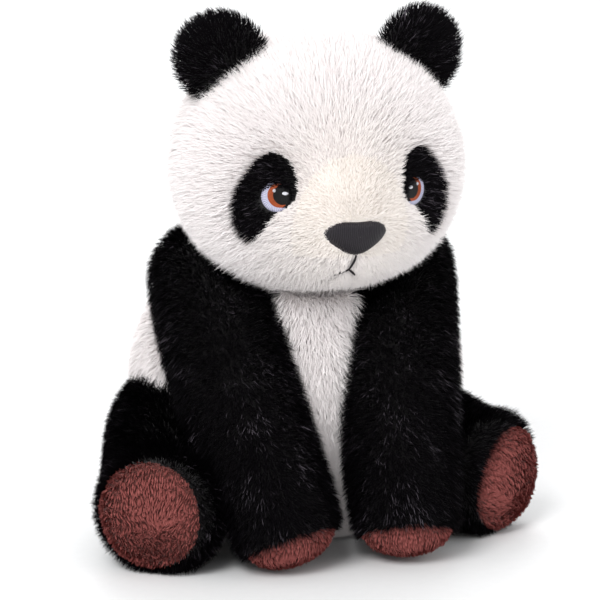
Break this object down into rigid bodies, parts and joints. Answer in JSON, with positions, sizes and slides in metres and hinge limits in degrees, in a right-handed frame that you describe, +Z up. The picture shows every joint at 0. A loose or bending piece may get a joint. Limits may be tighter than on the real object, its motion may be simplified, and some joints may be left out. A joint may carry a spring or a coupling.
{
  "type": "plush panda",
  "caption": "Seated stuffed panda of black and white plush with short-pile soles and paw pads, embroidered face, and head, arms, legs and ears that move softly at their seams.",
  "frame": {"origin": "centre of the bounding box at the floor", "axes": "+Z up, -Y is the way the panda's body faces, +X towards its left side"},
  "size_m": [0.2081, 0.1721, 0.2362],
  "materials": {
    "white_pile": "matte",
    "black_pile": "matte",
    "cream_short_pile": "matte",
    "brown_short_pile": "matte",
    "charcoal_thread": "satin",
    "eye_white_thread": "satin",
    "iris_thread": "satin",
    "black_thread": "satin",
    "seam_thread": "satin",
    "fill": "matte",
    "pouch_cotton": "matte"
  },
  "bodies": {
    "torso": {"belly_panel": "white_pile", "shoulder_yoke": "black_pile", "torso_back_right": "white_pile", "torso_back_left": "white_pile", "seat_panel": "white_pile", "torso_stuffing": "fill", "bean_pouch": "pouch_cotton", "closing_stitch": "seam_thread", "tail_cover": "white_pile", "tail_stuffing": "fill"},
    "neck": {"neck_stuffing": "fill"},
    "head": {"head_gusset": "white_pile", "head_side_right": "white_pile", "head_side_left": "white_pile", "head_back": "white_pile", "muzzle_bridge": "cream_short_pile", "chin_panel": "white_pile", "head_stuffing": "fill", "nose": "charcoal_thread", "mouth_stitch": "charcoal_thread", "eye_patch_right": "black_pile", "eye_white_right": "eye_white_thread", "eye_iris_right": "iris_thread", "eye_pupil_right": "black_thread", "eye_glint_right": "eye_white_thread", "eye_patch_left": "black_pile", "eye_white_left": "eye_white_thread", "eye_iris_left": "iris_thread", "eye_pupil_left": "black_thread", "eye_glint_left": "eye_white_thread"},
    "ear_right": {"ear_lining_right": "black_pile", "ear_back_right": "black_pile"},
    "arm_right": {"arm_outer_right": "black_pile", "arm_inner_right": "black_pile", "paw_pad_right": "brown_short_pile", "arm_stuffing_right": "fill"},
    "leg_right": {"leg_outer_right": "black_pile", "leg_inner_right": "black_pile", "foot_sole_right": "brown_short_pile", "leg_stuffing_right": "fill"},
    "ear_left": {"ear_lining_left": "black_pile", "ear_back_left": "black_pile"},
    "arm_left": {"arm_outer_left": "black_pile", "arm_inner_left": "black_pile", "paw_pad_left": "brown_short_pile", "arm_stuffing_left": "fill"},
    "leg_left": {"leg_outer_left": "black_pile", "leg_inner_left": "black_pile", "foot_sole_left": "brown_short_pile", "leg_stuffing_left": "fill"}
  },
  "joints": [
    {"name": "head_turn", "type": "hinge", "parent": "torso", "child": "neck", "pos_m": [0.003, -0.013, 0.117], "axis": [0, 0, 1], "range_deg": [-12, 12], "stiffness_Nm_per_rad": 0.6},
    {"name": "head_nod", "type": "hinge", "parent": "neck", "child": "head", "pos_m": [0.003, -0.013, 0.117], "axis": [1, 0, 0], "range_deg": [-4, 8], "stiffness_Nm_per_rad": 1.2},
    {"name": "arm_raise_right", "type": "hinge", "parent": "torso", "child": "arm_right", "pos_m": [-0.04, 0.004, 0.115], "axis": [-1, 0, 0], "range_deg": [0, 15], "stiffness_Nm_per_rad": 0.15},
    {"name": "leg_splay_right", "type": "hinge", "parent": "torso", "child": "leg_right", "pos_m": [-0.05, 0.01, 0.042], "axis": [0, 0, -1], "range_deg": [0, 14], "stiffness_Nm_per_rad": 0.1},
    {"name": "ear_bend_right", "type": "hinge", "parent": "head", "child": "ear_right", "pos_m": [-0.03612, -0.02295, 0.21186], "axis": [0.7223, 0, 0.6916], "range_deg": [-15, 15], "stiffness_Nm_per_rad": 0.02},
    {"name": "arm_raise_left", "type": "hinge", "parent": "torso", "child": "arm_left", "pos_m": [0.046, 0.004, 0.115], "axis": [-1, 0, 0], "range_deg": [0, 15], "stiffness_Nm_per_rad": 0.15},
    {"name": "leg_splay_left", "type": "hinge", "parent": "torso", "child": "leg_left", "pos_m": [0.048, 0.008, 0.033], "axis": [0, 0, 1], "range_deg": [0, 14], "stiffness_Nm_per_rad": 0.1},
    {"name": "ear_bend_left", "type": "hinge", "parent": "head", "child": "ear_left", "pos_m": [0.04212, -0.02295, 0.21186], "axis": [0.7223, 0, -0.6916], "range_deg": [-15, 15], "stiffness_Nm_per_rad": 0.02}
  ]
}
